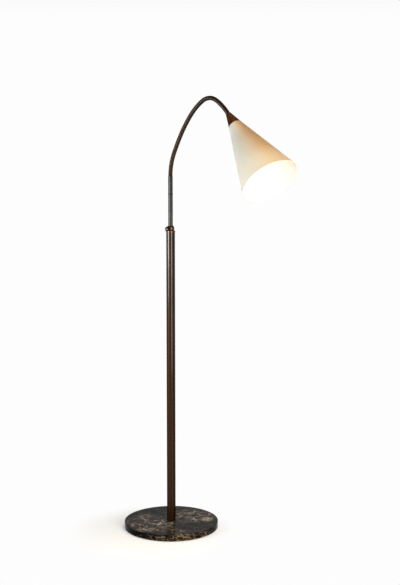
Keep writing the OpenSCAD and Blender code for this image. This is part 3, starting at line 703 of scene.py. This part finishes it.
hose_dark, hose_light = (0.023, 0.0128, 0.0072), (0.031, 0.0172, 0.0096)
hose_paint, tree, shader = new_finish("brown_hose_paint", {
    "Metallic": 1.0, "Coat Weight": 0.18, "Coat Roughness": 0.25, "Specular Tint": (0.2, 0.12, 0.08, 1)})
worn = noise(tree, own_place(tree, (2, 60, 1), coordinates="UV"), detail=4, roughness=0.6)
fine = noise(tree, own_place(tree, (40, 1400, 1), coordinates="UV"), detail=2)
paint(tree, shader, shades(tree, worn, (0.3, hose_dark), (0.7, hose_light)),
      roughness=between(tree, fine, 0.28, 0.44))
bumped(tree, shader, fine, depth=0.00002)
cuts = np.concatenate([[-hose_tail], (np.arange(sections) + 0.5) * section_l, [neck_l + hose_tail]])
for k, (start, end) in enumerate(zip(cuts[:-1], cuts[1:])):
    hose = wound_hose(f"hose_{k + 1}", start, end)
    hose.data.materials.append(hose_paint)
    if k == 0:
        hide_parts("gooseneck_1")
        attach(hose, "riser")
    elif k == sections:
        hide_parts("gooseneck_6")
        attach(hose, "head")
    else:
        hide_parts(f"gooseneck_{k}", f"gooseneck_{k + 1}")
        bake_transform(hose)


# The cap: a spun brass cone with an amber patina under lacquer, at the end of the gooseneck in line with the
# shade. It is soldered to the hose and screwed on the nipple that hangs the shade.
neck_ends, head_turns = neck_line(np.array([neck_l]))
neck_end, head_turn = neck_ends[0], head_turns[0]
along_head = (0, head_turn, 0)


def on_head(points):
    """Points made about Z, laid along the shade's axis from the end of the gooseneck."""
    ahead = np.array([np.sin(head_turn), 0, np.cos(head_turn)])
    side = np.array([np.cos(head_turn), 0, -np.sin(head_turn)])
    return points @ np.array([side, (0, 1, 0), ahead]) + neck_end


cap_l, cap_wall, cap_end_r, shade_top_r = 0.0465, 0.0015, 0.0082, 0.0206
hose_bore_r, nipple_bore_r, web_low, web_top = 0.00605, 0.00505, 0.0135, 0.0215
web_r = cap_end_r + (shade_top_r - cap_end_r) * web_top / cap_l - cap_wall
cap_profile = eased([
    (hose_bore_r, 0, 0.0002), (cap_end_r, 0, 0.0005), (shade_top_r, cap_l, 0.0005),
    (shade_top_r - cap_wall, cap_l, 0.0005), (web_r, web_top, 0.0004), (nipple_bore_r, web_top, 0.0002),
    (nipple_bore_r, web_low, 0.0002), (hose_bore_r, web_low, 0.0002)], loop=True)
points, *faces = turned(cap_profile, steps=96, loop=True)
cap = surface("cone_cap", on_head(points), *faces)
amber_dark, amber_light = (0.105, 0.038, 0.007), (0.135, 0.054, 0.013)
amber_brass, tree, shader = new_finish("amber_patina", {
    "Metallic": 1.0, "Coat Weight": 0.12, "Coat Roughness": 0.25, "Specular Tint": (0.25, 0.15, 0.07, 1)})
spun = noise(tree, own_place(tree, (500, 500, 2200), along_head), detail=2)
tone = noise(tree, own_place(tree, (60, 60, 60)), detail=4, roughness=0.6)
paint(tree, shader, shades(tree, tone, (0.3, amber_dark), (0.7, amber_light)),
      roughness=between(tree, tone, 0.24, 0.38))
bumped(tree, shader, spun, depth=0.00002)
cap.data.materials.append(amber_brass)
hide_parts("neck_cap")
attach(cap, "head")


# The shade: a cone of cream opal plastic, 2 mm thick, sprayed white inside. A painted glow makes it amber
# along its upper side and paler towards both ends. Its closed end is clamped between the cap and a washer,
# and its rim is rounded.
shade_end, rim_r, shade_wall, shade_end_t = 0.2715, 0.0876, 0.002, 0.0025
cap_glow_from, cap_glow_at, cap_glow_gain, rim_glow_from, rim_glow_at = 0.12, 0.05, 1.25, 0.165, 0.26
patch_share, plain_side, glow_side, glow_power = 0.12, 0.26, -0.94, 3.0
shade_flare = (rim_r - shade_top_r) / (shade_end - cap_l)
inner_end_r = shade_top_r + shade_flare * shade_end_t - shade_wall
shade_profile = eased([
    (nipple_bore_r, cap_l, 0.0002), (shade_top_r, cap_l, 0.0003), (rim_r, shade_end, 0.0009),
    (rim_r - shade_wall, shade_end, 0.0009), (inner_end_r, cap_l + shade_end_t, 0.001),
    (nipple_bore_r, cap_l + shade_end_t, 0.0002)], steps=8, loop=True)
points, *faces = turned(shade_profile, steps=160, loop=True)
shade = surface("cone_shade", on_head(points), *faces)


def glowing(tree, shader, share, colour):
    """Lets a share of the light behind the surface through in the given colour."""
    through = node(tree, "ShaderNodeBsdfTranslucent", {0: colour})
    tree.links.new(shader_mix(tree, share, shader, through), tree.nodes["Material Output"].inputs["Surface"])


opal, tree, shader = new_finish("cream_opal", {"Roughness": 0.32, "IOR": 1.49})
cloudy = noise(tree, own_place(tree), scale=30)
streak = noise(tree, own_place(tree, (70, 70, 6), along_head, neck_end))
from_neck = component(tree, own_place(tree, (1, 1, 1), along_head, neck_end), "Z")
# Painted glow: the tint is lighter near the cap and towards the rim
cap_end_glow = ramped(tree, from_neck, cap_glow_from, cap_glow_at, 1.0, cap_glow_gain)
rim_glow = ramped(tree, from_neck, rim_glow_from, rim_glow_at)
# Painted glow: the tint turns amber along the shade's upper side
round_axis = vector_math(tree, "NORMALIZE", own_place(tree, (1, 1, 0), along_head, neck_end))
patchy = number_math(tree, "MULTIPLY_ADD", cloudy, patch_share, component(tree, round_axis, "X"))
towards_top = between(tree, patchy, 0.0, 1.0, start=plain_side, end=glow_side)
painted_glow_side = number_math(tree, "POWER", towards_top, glow_power)
cream = shades(tree, streak, (0.3, (0.505, 0.486, 0.418)), (0.7, (0.54, 0.52, 0.451)))
glow_amber = shades(tree, streak, (0.3, (0.68, 0.40, 0.155)), (0.7, (0.72, 0.435, 0.18)))
rim_glow_cream, rim_glow_amber = (0.60, 0.56, 0.475, 1), (0.90, 0.67, 0.375, 1)
opal_and_glow_mix = mixed(tree, painted_glow_side, mixed(tree, rim_glow, cream, rim_glow_cream),
                 mixed(tree, rim_glow, glow_amber, rim_glow_amber))
opal_and_glow_tint = node(tree, "ShaderNodeVectorMath", {0: opal_and_glow_mix, "Scale": cap_end_glow}, operation="SCALE").outputs[0]
paint(tree, shader, opal_and_glow_tint)
bumped(tree, shader, noise(tree, own_place(tree), scale=210, detail=2), depth=0.00004)
glowing(tree, shader, share=0.4, colour=opal_and_glow_tint)

coat_dark, coat_light = (0.86, 0.855, 0.83), (0.90, 0.895, 0.87)
coat, tree, shader = new_finish("white_inside_coat", {"Roughness": 0.5})
sprayed = noise(tree, own_place(tree), scale=900, roughness=0.6)
coat_tint = shades(tree, sprayed, (0.3, coat_dark), (0.7, coat_light))
paint(tree, shader, coat_tint)
bumped(tree, shader, sprayed, depth=0.00003)
glowing(tree, shader, share=0.45, colour=coat_tint)
shade.data.materials.append(opal)
shade.data.materials.append(coat)
x, y, z = points[faces[0]].mean(1).T
outer_r = shade_top_r + shade_flare * (z - cap_l)
wall_depth, end_depth = 0.0012, 0.001
inside = (np.hypot(x, y) < outer_r - wall_depth) & (z > cap_l + end_depth)
shade.data.polygons.foreach_set("material_index", inside.astype(np.int32))
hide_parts("shade")
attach(shade, "head")


# The hanger inside the shade: nipple, washer and nut of plated steel.
# They clamp the shade to the cap and carry the lampholder.
dress(zinc, "head_nipple", "gallery_washer", "nipple_nut")


# The lampholder: a spun brass cap, a dark moulded skirt, a ceramic insert, a screw shell and its contacts.
# The cap screws on the nipple, and the skirt into the cap.
holder_r, hub_r, inner_hub_r, holder_wall = 0.0185, 0.008, 0.0068, 0.0012
hub_low, hub_top, cone_end, holder_end = 0.056, 0.0628, 0.0708, 0.086
inner_cone_low, inner_cone_end = 0.064, 0.072
holder_profile = eased([
    (nipple_bore_r, hub_low, 0.0003), (hub_r, hub_low, 0.0006), (hub_r, hub_top, 0.0015),
    (holder_r, cone_end, 0.0025), (holder_r, holder_end, 0.0004),
    (holder_r - holder_wall, holder_end, 0.0004), (holder_r - holder_wall, inner_cone_end, 0.001),
    (inner_hub_r, inner_cone_low, 0.001), (nipple_bore_r, inner_cone_low, 0.0003)], loop=True)
points, *faces = turned(holder_profile, steps=72, loop=True)
holder = surface("holder_cap", on_head(points), *faces)
holder.data.materials.append(brass)
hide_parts("lampholder_cap")
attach(holder, "head")

skirt_bore_r, skirt_thread_r, skirt_low, skirt_end, skirt_bevel = 0.01415, 0.01725, 0.080, 0.112, 0.001
skirt_profile = eased([
    (skirt_bore_r, skirt_low, 0.0003), (skirt_thread_r, skirt_low, 0.0003),
    (skirt_thread_r, holder_end, 0.0001), (holder_r, holder_end, 0.0005),
    (holder_r, skirt_end - skirt_bevel, 0.0008), (holder_r - skirt_bevel, skirt_end, 0.0006),
    (skirt_bore_r, skirt_end, 0.0005)], loop=True)
points, *faces = turned(skirt_profile, steps=72, loop=True)
skirt = surface("holder_skirt", on_head(points), *faces)
skirt_dark, skirt_light = (0.016, 0.010, 0.007), (0.040, 0.024, 0.014)
phenolic, tree, shader = new_finish("moulded_phenolic", {"Metallic": 0.0, "Coat Weight": 0.2})
marbled = noise(tree, own_place(tree), scale=260, detail=5, roughness=0.7, distortion=0.6)
paint(tree, shader, shades(tree, marbled, (0.3, skirt_dark), (0.75, skirt_light)),
      roughness=between(tree, marbled, 0.22, 0.38))
bumped(tree, shader, noise(tree, own_place(tree), scale=1600, detail=2), depth=0.00002)
skirt.data.materials.append(phenolic)
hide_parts("lampholder_skirt")
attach(skirt, "head")

glaze_dark, glaze_light = (0.72, 0.70, 0.66), (0.82, 0.80, 0.77)
ceramic, tree, shader = new_finish("glazed_ceramic", {"Metallic": 0.0, "Coat Weight": 0.3})
glaze = noise(tree, own_place(tree), scale=320, detail=4)
paint(tree, shader, shades(tree, glaze, (0.3, glaze_dark), (0.7, glaze_light)),
      roughness=between(tree, glaze, 0.2, 0.4))
bumped(tree, shader, glaze, depth=0.00005)
dress(ceramic, "lampholder_insert")
dress(brass, "screw_shell", "centre_contact")
dress(zinc, "terminal_screws")


# The bulb: a round opal glass bulb with an aluminium screw cap, lit with warm light.
# It is screwed into the shell and fills the middle of the shade.
aluminium_dark, aluminium_light = (0.42, 0.41, 0.39), (0.62, 0.61, 0.58)
aluminium, tree, shader = new_finish("plain_aluminium", {"Metallic": 1.0})
dull = noise(tree, own_place(tree, (200, 200, 1800), along_head))
paint(tree, shader, shades(tree, dull, (0.3, aluminium_dark), (0.7, aluminium_light)),
      roughness=between(tree, dull, 0.25, 0.45))
bumped(tree, shader, dull, depth=0.00004)
dress(aluminium, "bulb_cap")

# The glass is a ball, met by a neck that is a cubic curve from the cap's end to the ball's tangent
bulb_r, bulb_centre, bulb_neck_r, bulb_cap_end = 0.030, 0.1626, 0.0132, 0.1106
glass_foot_r, glass_gap = 0.010, 0.0005
join_low, neck_pull, ball_pull, ball_tangent = np.radians(30), 0.016, 0.014, np.array([0.5, 0.866])
neck_foot = np.array([bulb_neck_r, bulb_cap_end])
join = np.array([bulb_r * np.cos(join_low), bulb_centre - bulb_r * np.sin(join_low)])
pull_low, pull_high = neck_foot + (0, neck_pull), join - ball_pull * ball_tangent
u = np.linspace(0, 1, 25)[:, None]
bulb_neck = ((1 - u) ** 3 * neck_foot + 3 * u * (1 - u) ** 2 * pull_low
             + 3 * u ** 2 * (1 - u) * pull_high + u ** 3 * join)
glass_foot = [(0, bulb_cap_end + glass_gap), (glass_foot_r, bulb_cap_end + glass_gap)]
bulb_ball = globe(bulb_centre, bulb_r, -join_low, steps=49)[1:]
points, *faces = turned(np.concatenate([glass_foot, bulb_neck, bulb_ball]), steps=72)
bulb = surface("bulb_globe", on_head(points), *faces)
warm_white, opal_dark, opal_light = (1.0, 0.90, 0.74), (0.86, 0.83, 0.76), (0.93, 0.91, 0.86)
opal_glass, tree, shader = new_finish("opal_glass_lit", {
    "IOR": 1.5, "Emission Color": (*warm_white, 1), "Emission Strength": 0.8})
frost = noise(tree, own_place(tree), scale=850)
paint(tree, shader, shades(tree, frost, (0.3, opal_dark), (0.7, opal_light)),
      roughness=between(tree, frost, 0.45, 0.6))
bulb.data.materials.append(opal_glass)
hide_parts("bulb_glass")
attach(bulb, "head")


def head_light(name, kind, along, watts, colour):
    """Light so far along the shade's axis from the end of the gooseneck, facing out of the shade."""
    light = bpy.data.lights.new(name, kind)
    light.energy, light.color = watts, colour
    made = bpy.data.objects.new(name, light)
    scene.collection.objects.link(made)
    made.location = on_head(np.array([0, 0, along]))
    ahead = Vector(on_head(np.array([0, 0, 1.0])) - neck_end)
    made.rotation_euler = ahead.to_track_quat("-Z", "Y").to_euler()
    made.visible_camera = False
    return made


# The glass lets no light through, so the bulb's own light stands past it, near the mouth of the shade
bulb_light_out, mouth_light_d, mouth_warm = 0.245, 0.15, (1.0, 0.80, 0.52)
bulb_light = head_light("bulb_light", "POINT", along=bulb_light_out, watts=0.14, colour=warm_white)
bulb_light.data.shadow_soft_size = bulb_r
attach(bulb_light, "head")
mouth_light = head_light("mouth_light", "AREA", along=shade_end, watts=12, colour=mouth_warm)
mouth_light.data.shape, mouth_light.data.size = "DISK", mouth_light_d
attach(mouth_light, "head")
